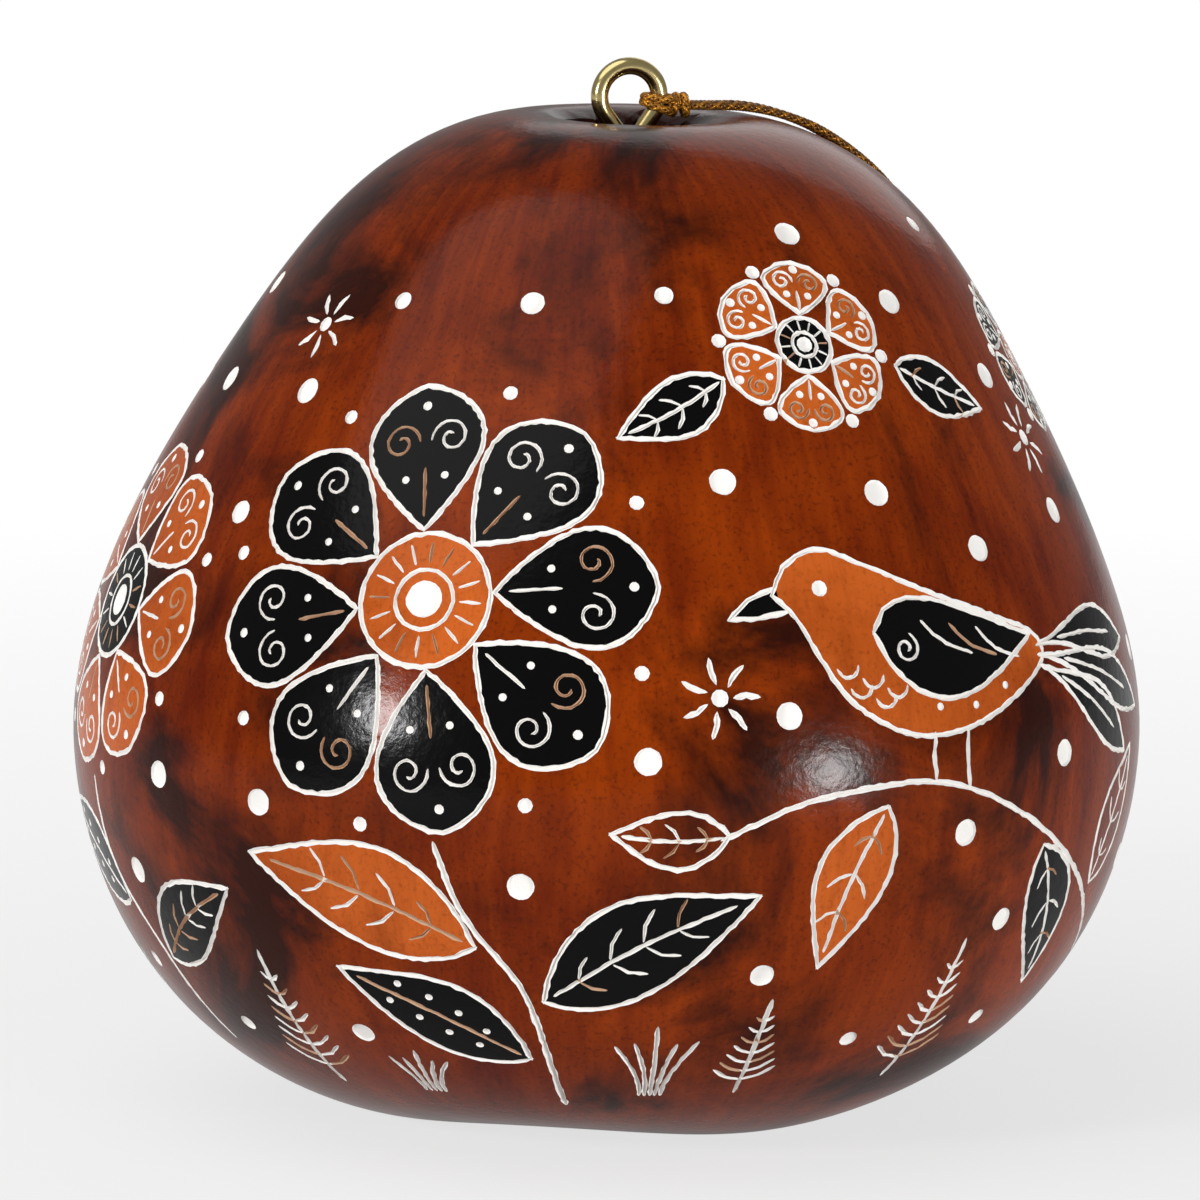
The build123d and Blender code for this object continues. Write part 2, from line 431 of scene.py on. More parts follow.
def brass_finish():
    """Polished brass wire with faint drawing marks."""
    _, cord = settings()
    finish, tree, where = new_finish("eye_brass")
    cloud = noise(tree, where, *BRASS_CLOUDS)
    dull = between(tree, cloud, *BRASS_DULL)
    return finished(finish, {
        "Base Color": mixed(tree, dull, rgba(cord.brass), rgba(BRASS_SHADE)),
        "Roughness": between(tree, cloud, *BRASS_ROUGHNESS),
        "Normal": bumped(tree, noise(tree, where, DRAWING_MARKS), 0.08, 0.05 * MM),
        "Metallic": 1.0,
    })


def cord_finish():
    """Shiny yarns, bright and dark, told apart by the yarn's own tone."""
    _, cord = settings()
    finish, tree, where = new_finish("cord_braid")
    glint = noise(tree, where, YARN_GLINTS)
    tone = add(tree, "Attribute", attribute_name="tone")["Fac"]
    colour = mixed(tree, tone, rgba(cord.bronze), rgba(cord.gold))
    return finished(finish, {
        "Base Color": mixed(tree, between(tree, glint, *YARN_DARK), colour, rgba(cord.bronze)),
        "Roughness": between(tree, glint, *YARN_ROUGHNESS),
        "Metallic": 0.55,
    })


def dry_finish(name, grain, ends, colours, bump, roughness):
    """Dry matter, mottled between two colours by a grain that also roughens it."""
    finish, tree, where = new_finish(name)
    crumb = noise(tree, where, *grain)
    return finished(finish, {
        "Base Color": mixed(tree, between(tree, crumb, *ends), *map(rgba, colours)),
        "Roughness": roughness,
        "Normal": bumped(tree, crumb, *bump),
    })


# Body of the gourd

# Rim of the hole: its rise from the heart, and how far from the stem the hole and the rim reach
RIM_RISE = 38.0 * MM
HOLE_REACH = 3.5 * MM
RIM_START, RIM_END = 3.6 * MM, 5.0 * MM
NEARLY_UP = 0.9

# Spheres that become the outer and the inner wall: segments, rings, radius; and how often both are evened
OUTER_SPHERE = (128, 112, 60.0 * MM)
INNER_SPHERE = (64, 48, 4.0 * MM)
EVENINGS = 3


def fitted_sphere(name, segments, rings, radius, outwards):
    """Sphere about the gourd's heart, fitted to the solid's outer or inner wall."""
    bpy.ops.mesh.primitive_uv_sphere_add(segments=segments, ring_count=rings, radius=radius, location=HEART)
    body = settle(name)
    fit = body.modifiers.new("fit", "SHRINKWRAP")
    fit.wrap_method = "PROJECT"
    fit.target = frame["nodes"]["gourd_shell"]
    fit.use_positive_direction = outwards
    fit.use_negative_direction = not outwards
    bpy.ops.object.modifier_apply(modifier=fit.name)
    close_stem_hole(body.data)
    return body


def close_stem_hole(mesh):
    """Lays the points that fell through the stem's hole level with its rim, and evens the skin a little."""
    count = len(mesh.vertices)
    rays = triples(mesh.vertices, "co") - np.array(HEART)
    reach = np.linalg.norm(rays, axis=1)
    rays /= reach[:, None]
    at_rim = RIM_RISE / np.maximum(rays[:, 2], 0.1)
    aside = np.hypot(rays[:, 0] * at_rim - STEM.x, rays[:, 1] * at_rim)
    hole = (rays[:, 2] > NEARLY_UP) & (aside < HOLE_REACH)
    rim = (rays[:, 2] > NEARLY_UP) & (aside > RIM_START) & (aside < RIM_END)
    reach[hole] = reach[rim].mean()
    edges = np.empty(len(mesh.edges) * 2, dtype=np.int64)
    mesh.edges.foreach_get("vertices", edges)
    first, second = edges.reshape(-1, 2).T
    links = np.bincount(edges, minlength=count)
    for _ in range(EVENINGS):
        around = np.bincount(first, reach[second], count) + np.bincount(second, reach[first], count)
        reach = 0.5 * reach + 0.5 * around / links
    mesh.vertices.foreach_set("co", (rays * reach[:, None] + np.array(HEART)).ravel())
    mesh.update()


# Drawing on the skin, in millimetres on spots of it

# What a face of the skin is, which is also its place among the skin's materials
SKIN, BLACK, ORANGE, FLESH, TAN = range(5)

# How far out points start before they are laid on the skin, and how far behind its spot a field reaches
SIDE_START = 100.0 * MM
SPOT_START = 60.0 * MM
FIELD_REACH = 30.0 * MM

# Longest run of a line in millimetres, and its sharpest turn in degrees, that has no point
LONGEST_RUN = 1.5
SHARPEST_TURN = 13.0

# Leaves, petals and grass: where they are fullest, and where points are set along them
LEAF_SHARES = [step / 14 for step in range(15)]
LEAF_FULLEST = 0.42
PETAL_SHARES = [0.5 - 0.5 * math.cos(math.pi * step / 22) for step in range(23)]
PETAL_FULLEST = 0.62
PETAL_BLUNT = 0.62
RIB_SHARES = (0.06, 0.2, 0.35, 0.5, 0.65, 0.8, 0.9)
VEIN_SHARES = ((0.12, 0.12), (0.35, 0.5), (0.75, 0.78))
BLADE_SHARES = (0, 0.25, 0.5, 0.75, 1)


class Carving:
    """All that the carver draws: lines, dots and fields, found on the skin."""

    def __init__(self, body):
        mesh = body.data
        self.skin, _ = settings()
        self.hand = random.Random(self.skin.seed)
        self.tree = BVHTree.FromPolygons([v.co for v in mesh.vertices], [p.vertices for p in mesh.polygons])
        self.lines, self.dots, self.fields = [], [], []

    def at(self, bearing, height):
        """Point and normal of the skin at a bearing from the front and a height."""
        turn = math.radians(bearing)
        outwards = Vector((math.sin(turn), -math.cos(turn), 0.0))
        start = Vector((0.0, 0.0, height * MM)) + outwards * SIDE_START
        return self.tree.ray_cast(start, -outwards)[:2]

    def cut(self, found, width=1.0, taper=True):
        """Cut line through points found on the skin, with more between them where the blade would waver."""
        if len(found) < 2:
            return
        track = found[:1]
        for (place, normal), (after, after_normal) in zip(found, found[1:]):
            parts = max(1, round((after - place).length / self.skin.waver))
            for part in range(1, parts + 1):
                share = part / parts
                track.append((place.lerp(after, share), normal.lerp(after_normal, share).normalized()))
        self.lines.append((track, width, taper))


class Spot:
    """Place on the skin to draw at: x to the right, y up, z out."""

    def __init__(self, art, bearing, height):
        place, normal = art.at(bearing, height)
        right = UP.cross(normal).normalized()
        self.art = art
        self.frame = Matrix((right, normal.cross(right), normal)).transposed().to_4x4()
        self.frame.translation = place

    def lay(self, points):
        """Points laid on the skin."""
        out = self.frame.to_3x3() @ UP
        found = []
        for x, y in points:
            start = self.frame @ Vector((x * MM, y * MM, 0.0)) + out * SPOT_START
            hit, normal, _, _ = self.art.tree.ray_cast(start, -out)
            if hit is not None:
                found.append((hit, normal))
        return found

    def line(self, points, width=1.0, taper=True):
        """Cut line through points."""
        self.art.cut(self.lay(thinned(points)), width, taper)

    def dots(self, points, size):
        """Drilled dots at points."""
        radius = self.art.skin.dot_radius * size
        self.art.dots += [(place, normal, radius) for place, normal in self.lay(points)]

    def field(self, outline, kind):
        """Field of a colour inside an outline."""
        self.art.fields.append((self.frame, outline, kind))


def thinned(points):
    """Points of a line with the needless ones on its straight runs left out."""
    kept = [points[0]]
    for (x, y), after in zip(points[1:], points[2:]):
        before = math.atan2(y - kept[-1][1], x - kept[-1][0])
        turn = math.atan2(after[1] - y, after[0] - x) - before
        turn = abs(math.degrees((turn + math.pi) % (2 * math.pi) - math.pi))
        if turn > SHARPEST_TURN or math.dist(after, kept[-1]) > LONGEST_RUN:
            kept.append((x, y))
    return kept + [points[-1]]


def moved(points, turn=0.0, x=0.0, y=0.0):
    """Points turned and moved."""
    cosine, sine = math.cos(math.radians(turn)), math.sin(math.radians(turn))
    return [(x + cosine * px - sine * py, y + sine * px + cosine * py) for px, py in points]


def arc(x, y, radius, start, end, steps):
    """Points of an arc."""
    turns = [math.radians(start + (end - start) * index / steps) for index in range(steps + 1)]
    return [(x + radius * math.cos(turn), y + radius * math.sin(turn)) for turn in turns]


def curl(x, y, radius, start, turns, hand):
    """Points of a curl that winds in from its outer end."""
    steps = int(20 * turns)
    points = []
    for index in range(steps + 1):
        share = index / steps
        turn = math.radians(start + hand * 360 * turns * share)
        reach = radius * (1 - 0.78 * share)
        points.append((x + reach * math.cos(turn), y + reach * math.sin(turn)))
    return points


def smooth(stops, steps=8):
    """Points of an even curve through some stops."""
    last = len(stops) - 1
    points = []
    for span in range(last):
        near = [stops[min(max(span + step, 0), last)] for step in (-1, 0, 1, 2)]
        for index in range(steps):
            t = index / steps
            weights = (-t + 2 * t**2 - t**3, 2 - 5 * t**2 + 3 * t**3, t + 4 * t**2 - 3 * t**3, -(t**2) + t**3)
            points.append(tuple(sum(w * p[axis] for w, p in zip(weights, near)) / 2 for axis in (0, 1)))
    return points + [stops[-1]]


def leaf_sides(length, width, bow=0.0, fullest=LEAF_FULLEST, shares=LEAF_SHARES, blunt=1.0):
    """Both sides of a leaf that starts at the origin and runs along x."""
    power = math.log(0.5) / math.log(fullest)
    upper, lower = [], []
    for share in shares:
        half = width / 2 * math.sin(math.pi * share**power) ** blunt
        middle = bow * math.sin(math.pi * share)
        upper.append((length * share, middle + half))
        lower.append((length * share, middle - half))
    return upper, lower


def petal_outline(length, width):
    """Outline of a petal, which is a blunt leaf."""
    upper, lower = leaf_sides(length, width, 0.0, PETAL_FULLEST, PETAL_SHARES, PETAL_BLUNT)
    return upper + lower[::-1][1:]


def draw_blade(spot, upper, lower, kind):
    """Leaf or feather of two sides, and its field unless it is left in the skin."""
    spot.line(upper)
    spot.line(lower)
    if kind != SKIN:
        spot.field(upper + lower[::-1], kind)


def draw_leaf(spot, x, y, turn, length, width, kind, bow, veins=4, dots=False):
    """Leaf with a middle vein, and side veins or dots."""
    place = (turn, x, y)
    upper, lower = leaf_sides(length, width, bow)
    draw_blade(spot, moved(upper, *place), moved(lower, *place), kind)
    rib = [(length * share, bow * math.sin(math.pi * share)) for share in RIB_SHARES]
    spot.line(moved(rib, *place), 0.8)
    for index in range(veins):
        share = 0.18 + 0.47 * index / (veins - 1)
        root_x, root_y = length * share, bow * math.sin(math.pi * share)
        reach = 0.36 * width * math.sin(math.pi * share**0.8)
        for side in (-1, 1):
            if dots:
                spot.dots(moved([(root_x + 0.3 * length / veins, root_y + side * 0.5 * reach)], *place), 0.3)
            else:
                vein = [
                    (root_x + along * reach, root_y + side * aside * reach) for along, aside in VEIN_SHARES
                ]
                spot.line(moved(vein, *place), 0.65)


def draw_rosette(spot, radius, petals, kind, heart_kind, turn, heart=0.3):
    """Round flower: petals with curls and dots about a ringed heart."""
    core = radius * heart
    length = radius - core - 0.35
    widest = core + 0.62 * length
    width = 2 * widest * math.tan(math.pi / petals) * 0.9
    petal = petal_outline(length, width)
    flank = len(petal) // 4
    for index in range(petals):
        angle = turn + 360 * index / petals
        place = (angle, *moved([(core + 0.3, 0.0)], angle)[0])
        outline = moved(petal, *place)
        spot.line(outline[flank:] + outline[1:flank + 1], taper=False)
        spot.field(outline, kind)
        spot.line(moved([(length * share, 0.0) for share in (0.10, 0.25, 0.42)], *place), 0.7)
        for side in (-1, 1):
            ringlet = curl(0.62 * length, side * 0.22 * width, 0.17 * width, -90 * side, 1.3, side)
            spot.line(moved(ringlet, *place), 0.6)
            spot.dots(moved([(0.36 * length, side * 0.17 * width)], *place), 0.3)
        spot.dots(moved([(0.86 * length, 0.0)], *place), 0.36)
        spot.dots(moved([(widest + 0.4 * length, 0.0)], angle + 180 / petals), 0.55)
    rim = arc(0, 0, core, 0, 360, 30)
    spot.line(rim, taper=False)
    spot.field(rim, heart_kind)
    spot.line(arc(0, 0, core * 0.45, 0, 360, 20), 0.8, taper=False)
    for index in range(petals * 2):
        spot.line(moved([(core * 0.56, 0.0), (core * 0.85, 0.0)], 180 * index / petals), 0.6)
    spot.dots([(0, 0)], core * 0.28)


def draw_daisy(spot, radius, rays=7, turn=0.0):
    """Small open flower of short strokes about a dot."""
    spot.dots([(0, 0)], 0.55 * radius / 2.4)
    stroke = [(radius * 0.42, 0.0), (radius * 0.7, 0.12), (radius, 0.0)]
    for index in range(rays):
        spot.line(moved(stroke, turn + 360 * index / rays), 1.1)


def draw_fern(spot, height, lean, pairs=7):
    """Fern frond: a rib with paired leaflets that grow shorter towards its tip."""
    spot.line([(lean * (index / 10) ** 2, height * index / 10) for index in range(11)])
    for index in range(pairs):
        share = 0.18 + 0.75 * index / pairs
        x, y = lean * share**2, height * share
        reach = height * 0.26 * (1.05 - share)
        for side in (-1, 1):
            tip = (x + side * reach, y + 0.6 * reach)
            spot.line([(x, y), (x + side * 0.55 * reach, y + 0.2 * reach), tip], 0.85)


def draw_grass(spot, height, blades=5):
    """Tuft of grass."""
    for index in range(blades):
        aside = index - (blades - 1) / 2
        lean = aside * 0.32
        tall = height * (1 - 0.09 * abs(aside)) * spot.art.hand.uniform(0.85, 1.1)
        bend = tall * lean * 0.55
        spot.line([(lean * 1.2 + bend * share**2, tall * share) for share in BLADE_SHARES], 0.9)


def draw_bird(spot, hand, size):
    """Perched bird in profile, with scalloped breast, folded wing and long tail."""

    def place(points):
        return [(hand * size * x, size * y) for x, y in points]

    body = place(smooth([
        (-13.2, 5.6), (-11.6, 7.7), (-8.8, 8.4), (-5.6, 6.7), (-0.5, 4.0), (5.0, 1.8), (9.6, 0.1),
        (10.2, -2.0), (6.0, -4.6), (1.0, -6.3), (-4.5, -6.2), (-9.0, -3.2), (-11.0, 0.8), (-11.9, 3.6),
        (-13.2, 5.6),
    ]))
    spot.line(body, taper=False)
    spot.field(body, ORANGE)
    beak_top = place([(-12.9, 6.1), (-15.0, 5.6), (-16.6, 4.4)])
    beak_low = place([(-12.4, 4.2), (-14.6, 4.1), (-16.6, 4.4)])
    draw_blade(spot, beak_top, beak_low, BLACK)
    for turn, length in ((2.0, 15.0), (-13.0, 17.0), (-28.0, 14.0)):
        rump = (turn, 9.9, -1.0 + 0.05 * turn)
        upper, lower = leaf_sides(length, 4.0, 0.6, 0.66)
        draw_blade(spot, place(moved(upper, *rump)), place(moved(lower, *rump)), BLACK)
        quill = [(0.2 * length, 0.35), (0.5 * length, 0.6), (0.8 * length, 0.4)]
        spot.line(place(moved(quill, *rump)), 0.7)
    upper, lower = leaf_sides(15.5, 7.4, -1.4, 0.34)
    draw_blade(spot, place(moved(upper, -6, -6.2, 1.6)), place(moved(lower, -6, -6.2, 1.6)), BLACK)
    for index in range(3):
        feather = [
            (-1.8 + 2.6 * index, 1.9 - 0.5 * index),
            (-0.2 + 2.6 * index, 0.2 - 0.5 * index),
            (2.4 + 2.5 * index, -0.9 - 0.35 * index),
        ]
        spot.line(place(smooth(feather)), 0.7)
    spot.line(place(curl(-3.7, 0.1, 1.15, 60, 1.3, -1)), 0.65)
    spot.dots(place([(-9.6, 5.5)]), 0.62 * size)
    for row, column in ((0, 0), (0, 1), (0, 2), (1, 0), (1, 1)):
        scallop = arc(-8.9 + 1.9 * column + 0.8 * row, -0.5 - 1.6 * row - 1.0 * column, 0.85, 190, 350, 8)
        spot.line(place(scallop), 0.7)
    spot.dots(place([(-1.6, -4.5), (1.9, -4.75), (5.3, -3.6)]), 0.3)
    for foot, drop in ((-2.4, 3.2), (0.8, 4.1)):
        spot.line(place([(foot, -6.4), (foot - 0.3, -6.4 - 0.5 * drop), (foot - 0.2, -6.4 - drop)]), 0.9)


def draw_vine(art, width, *stops):
    """Stem along stops of bearing and height."""
    art.cut([art.at(bearing, height) for bearing, height in smooth(stops, 7)], width)


def draw_sprinkle(art, tries, gap, room):
    """Dots strewn over what is still bare."""
    taken = [place for line, _, _ in art.lines for place, _ in line] + [place for place, _, _ in art.dots]
    taken = np.array([tuple(place) for place in taken])
    strewn = []
    for _ in range(tries):
        bearing, height = art.hand.uniform(-180, 180), art.hand.uniform(10, 68)
        size = art.hand.choice((1.0, 1.0, 0.9, 0.7))
        place, normal = art.at(bearing, height)
        clear = np.linalg.norm(taken - np.array(place), axis=1).min()
        apart = min([(place - other).length for other in strewn], default=1.0)
        if clear > room and apart > gap:
            strewn.append(place)
            art.dots.append((place, normal, art.skin.dot_radius * size))


def draw_garden(art):
    """The whole composition, round the gourd, at spots of bearing and height."""

    def spot(bearing, height):
        return Spot(art, bearing, height)

    # Front: a great black flower to the left of the middle and a bird to the right
    draw_rosette(spot(-21, 43.5), 16.5, 8, BLACK, ORANGE, 10)
    draw_vine(art, 1.2, (-6, 5.5), (-9, 15), (-15, 21), (-18, 26.5))
    draw_leaf(spot(-8, 14.5), 0.6, 0.2, 24, 17, 7.6, BLACK, 1.2)
    draw_leaf(spot(-13, 19), -0.8, -0.2, 166, 18, 7.8, ORANGE, -1.2)
    draw_leaf(spot(-8, 9.5), -0.8, 0.4, 158, 15, 6.4, BLACK, -1.0, dots=True)
    draw_bird(spot(40, 39.5), 1, 0.98)
    draw_vine(art, 1.1, (77, 13), (62, 21), (48, 27), (36, 30), (22, 29.5), (12, 27))
    draw_leaf(spot(53, 24.6), 0.4, -0.8, -72, 12.5, 5.8, BLACK, 0.8, 3)
    draw_leaf(spot(30, 29.4), 0.2, -0.8, -110, 12.5, 5.8, ORANGE, -0.8, 3)
    draw_leaf(spot(66, 18.8), 1.0, 0.6, 58, 11, 5.4, SKIN, 0.8, 3)
    draw_leaf(spot(13, 27.2), -0.2, 0.0, 178, 8.5, 4.2, SKIN, 0.4, 3)
    draw_rosette(spot(31, 60.5), 6.8, 6, ORANGE, BLACK, 20, 0.32)
    draw_leaf(spot(17, 58.5), 0, 0, 205, 9.0, 4.4, BLACK, 0.4, 3)
    draw_leaf(spot(46, 58.5), 0, 0, -25, 9.0, 4.4, BLACK, -0.4, 3)
    draw_daisy(spot(12, 37), 2.8)
    draw_daisy(spot(70, 52), 2.8, 8, 12)
    draw_daisy(spot(-52, 61), 2.6, 7, 20)
    draw_fern(spot(18, 6.5), 10.0, 0.8)
    draw_fern(spot(-41, 6.0), 13.0, -1.2, 8)
    draw_grass(spot(6, 6.5), 8.0)
    draw_fern(spot(42, 6.5), 13.0, 1.2, 8)
    draw_grass(spot(-25, 6.2), 5.5)
    # Left side: an orange flower on its own stem
    draw_rosette(spot(-72, 40), 12.5, 7, ORANGE, BLACK, 0, 0.34)
    draw_vine(art, 1.1, (-60, 8), (-63, 15), (-69, 21), (-71, 27))
    draw_leaf(spot(-62, 14), 0.4, 0.3, 30, 13, 5.8, BLACK, 0.9)
    draw_leaf(spot(-66, 18), -0.8, 0.1, 160, 14, 6.2, BLACK, -0.9, dots=True)
    draw_grass(spot(-78, 8), 7)
    # Back left: a second bird, looking the other way
    draw_bird(spot(-124, 39), -1, 0.92)
    draw_vine(art, 1.1, (-166, 14), (-150, 22), (-136, 28), (-122, 30.2), (-108, 29), (-99, 26))
    draw_leaf(spot(-140, 26.5), -0.4, -0.8, -112, 12, 5.6, BLACK, -0.8, 3)
    draw_leaf(spot(-116, 29.6), 0.2, -0.8, -70, 12, 5.6, ORANGE, 0.8, 3)
    draw_rosette(spot(-112, 60), 6.5, 6, BLACK, ORANGE, 0, 0.32)
    draw_daisy(spot(-145, 56), 2.8, 8)
    draw_fern(spot(-106, 8), 11.5, -1.2)
    draw_fern(spot(-132, 8), 9.5, 1.2)
    draw_grass(spot(-150, 8), 7)
    # Back: a second great black flower, with an orange leaf and a black one
    draw_rosette(spot(165, 43), 15.5, 8, BLACK, ORANGE, 0)
    draw_vine(art, 1.2, (178, 8.5), (176, 15), (170, 21), (167, 27))
    draw_leaf(spot(176, 15), 0.6, 0.2, 22, 15, 6.8, ORANGE, 1.0)
    draw_leaf(spot(171, 19), -0.8, 0.0, 164, 17, 7.4, BLACK, -1.1)
    draw_daisy(spot(-170, 62), 2.8, 7)
    draw_fern(spot(155, 8), 10, -1.2)
    # Right side: a spray of leaves under the cord
    draw_vine(art, 1.1, (116, 8), (114, 20), (119, 32), (116, 44), (119, 55))
    for height, side, kind in (
        (15, 1, BLACK), (23, -1, ORANGE), (31, 1, ORANGE), (38, -1, BLACK), (46, 1, BLACK), (52, -1, ORANGE)
    ):
        root = spot(116 + side * 1.5, height)
        draw_leaf(root, 0, 0, 90 - side * 52, 13.5 - 0.08 * height, 5.8, kind, side * 0.8, 3)
    draw_rosette(spot(85, 57), 6.2, 6, BLACK, ORANGE, 15, 0.32)
    draw_daisy(spot(140, 58), 2.8, 8)
    draw_grass(spot(98, 8), 7)
    draw_fern(spot(88, 8), 9.5, 1.0)
    draw_sprinkle(art, tries=2600, gap=9.0 * MM, room=2.6 * MM)


# Cutting the drawing into the skin

# Blade and drill: how far the tools stand proud, how a track ends and how the hand varies
PROUD = 0.06 * MM
RIDGE = 6
TRACK_END = 0.62
TRACK_REACH = 0.7
DEPTH_SWAY = (0.9, 1.1)
SIDE_SWAY = (0.66, 1.26)
DOT_SWAY = (0.97, 1.03)
DOT_DEPTH = 0.30 * MM
DOT_STEEP = 0.55
LARGE_DOT = 0.7 * MM
SIDES_LARGE, SIDES_SMALL = 18, 10

# How deep a face lies when it is cut, and when it lines the hollow
CUT_DEPTH = 0.012 * MM
LINING_DEPTH = 0.8 * MM

# Thin lines that may be cut so shallow that they look tan, and how many of them are
THIN_LINE = 0.9
SHALLOW_SHARE = 0.3


def unit_rows(rows):
    """Rows of directions at unit length."""
    return rows / np.maximum(np.linalg.norm(rows, axis=1), 1e-9)[:, None]


def line_cutter(art, found, width, taper):
    """Points and faces of the blade's track along a line, a ring where the line closes."""
    places = np.array([tuple(place) for place, _ in found])
    normals = np.array([tuple(normal) for _, normal in found])
    closed = np.linalg.norm(places[-1] - places[0]) < 0.001 * MM
    if closed:
        places, normals = places[:-1], normals[:-1]
        along = np.roll(places, -1, axis=0) - np.roll(places, 1, axis=0)
    else:
        along = np.gradient(places, axis=0)
    along = unit_rows(along)
    sides = unit_rows(np.cross(along, normals))
    count = len(places)
    vertices = []
    for index in range(count):
        share = TRACK_END if taper and index in (0, count - 1) else 1.0
        depth = art.skin.line_depth * (0.6 + 0.4 * width) * share * art.hand.uniform(*DEPTH_SWAY)
        half = art.skin.line_width / 2 * width * share * (depth + PROUD) / depth
        left, right = half * art.hand.uniform(*SIDE_SWAY), half * art.hand.uniform(*SIDE_SWAY)
        vertices.append(places[index] - sides[index] * left + normals[index] * PROUD)
        vertices.append(places[index] - normals[index] * depth)
        vertices.append(places[index] + sides[index] * right + normals[index] * PROUD)
        vertices.append(places[index] + normals[index] * PROUD * RIDGE)
    faces = []
    for index in range(count if closed else count - 1):
        near, far = 4 * index, 4 * ((index + 1) % count)
        faces += [(near + k, far + k, far + (k + 1) % 4, near + (k + 1) % 4) for k in range(4)]
    if closed:
        return vertices, faces
    reach = art.skin.line_width * TRACK_REACH * width
    vertices.append(places[0] - along[0] * reach + normals[0] * PROUD)
    vertices.append(places[-1] + along[-1] * reach + normals[-1] * PROUD)
    last = 4 * (count - 1)
    faces += [(4 * count, k, (k + 1) % 4) for k in range(4)]
    faces += [(4 * count + 1, last + (k + 1) % 4, last + k) for k in range(4)]
    return vertices, faces


def dot_cutter(art, place, normal, radius):
    """Points and faces of the drill's tip at a dot."""
    normal, place = np.array(normal), np.array(place)
    right = np.cross(normal, UP)
    right /= np.linalg.norm(right)
    up = np.cross(normal, right)
    sides = SIDES_LARGE if radius > LARGE_DOT else SIDES_SMALL
    depth = min(DOT_DEPTH, DOT_STEEP * radius)
    wobble = [art.hand.uniform(*DOT_SWAY) for _ in range(sides)]
    vertices = []
    for share, height in ((1.0, PROUD), (0.84, -0.6 * depth)):
        for index in range(sides):
            turn = 2 * math.pi * index / sides
            outwards = right * math.cos(turn) + up * math.sin(turn)
            vertices.append(place + outwards * radius * share * wobble[index] + normal * height)
    vertices += [place + normal * 0.4 * MM, place - normal * depth]
    faces = []
    for index in range(sides):
        after = (index + 1) % sides
        faces.append((index, after, 2 * sides))
        faces.append((index, sides + index, sides + after, after))
        faces.append((sides + index, 2 * sides + 1, sides + after))
    return vertices, faces


def cut_carving(body, art):
    """Takes all the tracks and dots, the stem's hole and the hollow out of the body in one cut."""
    tools = bpy.data.collections.new("carving_tools")
    bpy.context.scene.collection.children.link(tools)
    cutters = [line_cutter(art, *line) for line in art.lines] + [dot_cutter(art, *dot) for dot in art.dots]
    for vertices, faces in cutters:
        mesh = bpy.data.meshes.new("carving_tool")
        mesh.from_pydata(vertices, [], faces)
        tools.objects.link(bpy.data.objects.new("carving_tool", mesh))
    bpy.ops.mesh.primitive_cylinder_add(
        vertices=64, radius=STEM_HOLE, depth=DRILL_LENGTH, location=(STEM.x, 0.0, STEM_TOP)
    )
    for tool in (settle("stem_drill"), fitted_sphere("gourd_hollow", *INNER_SPHERE, outwards=True)):
        for home in list(tool.users_collection):
            home.objects.unlink(tool)
        tools.objects.link(tool)
    only(body)
    before = len(body.data.polygons)
    carve = body.modifiers.new("carve", "BOOLEAN")
    carve.operation = "DIFFERENCE"
    carve.operand_type = "COLLECTION"
    carve.collection = tools
    carve.solver = "MANIFOLD"
    bpy.ops.object.modifier_apply(modifier=carve.name)
    if len(body.data.polygons) < 2 * before:
        raise RuntimeError("the carving did not cut")
    for tool in list(tools.objects):
        bpy.data.meshes.remove(tool.data)
    bpy.data.collections.remove(tools)


def inside(outline, x, y):
    """Which points lie inside a closed outline."""
    hits = np.zeros(len(x), dtype=bool)
    for (x0, y0), (x1, y1) in zip(outline, outline[1:] + outline[:1]):
        if y0 != y1:
            crosses = (y0 > y) != (y1 > y)
            hits ^= crosses & (x < (x1 - x0) * (y - y0) / (y1 - y0) + x0)
    return hits


def mark_faces(body, art):
    """Gives each face its material: skin, field, deep or shallow cut. Returns which faces line the hollow."""
    edit(body, (bpy.ops.mesh.quads_convert_to_tris, {"quad_method": "BEAUTY", "ngon_method": "BEAUTY"}))
    mesh = body.data
    middles = triples(mesh.polygons, "center")
    kinds = np.full(len(middles), SKIN, dtype=np.int32)
    for spot_frame, outline, kind in art.fields:
        to_spot = np.array(spot_frame.inverted())
        local = middles @ to_spot[:3, :3].T + to_spot[:3, 3]
        outline = [(x * MM, y * MM) for x, y in outline]
        low, high = np.min(outline, axis=0), np.max(outline, axis=0)
        near = ((local[:, :2] > low) & (local[:, :2] < high)).all(axis=1)
        chosen = np.flatnonzero(near & (local[:, 2] > -FIELD_REACH))
        kinds[chosen[inside(outline, local[chosen, 0], local[chosen, 1])]] = kind
    shallow = [width < THIN_LINE and art.hand.random() < SHALLOW_SHARE for _, width, _ in art.lines] + [False]
    tracks = KDTree(sum(len(found) for found, _, _ in art.lines) + len(art.dots))
    for index, (found, _, _) in enumerate(art.lines):
        for place, _ in found:
            tracks.insert(place, index)
    for place, _, _ in art.dots:
        tracks.insert(place, len(art.lines))
    tracks.balance()
    depths = np.array([art.tree.find_nearest(Vector(middle))[3] for middle in middles])
    for index in np.flatnonzero(depths > CUT_DEPTH):
        kinds[index] = TAN if shallow[tracks.find(Vector(middles[index]))[1]] else FLESH
    lining = depths > LINING_DEPTH
    kinds[lining] = TAN
    aside = np.hypot(middles[:, 0] - STEM.x, middles[:, 1])
    kinds[(aside < STEM_FACES) & (middles[:, 2] > CROWN)] = SKIN
    mesh.polygons.foreach_set("material_index", kinds)
    mesh.update()
    return lining


def bearings_of(rays):
    """Bearings of some rays as shares of a turn, from the back."""
    return np.arctan2(rays[..., 0], -rays[..., 1]) / (2 * math.pi) + 0.5


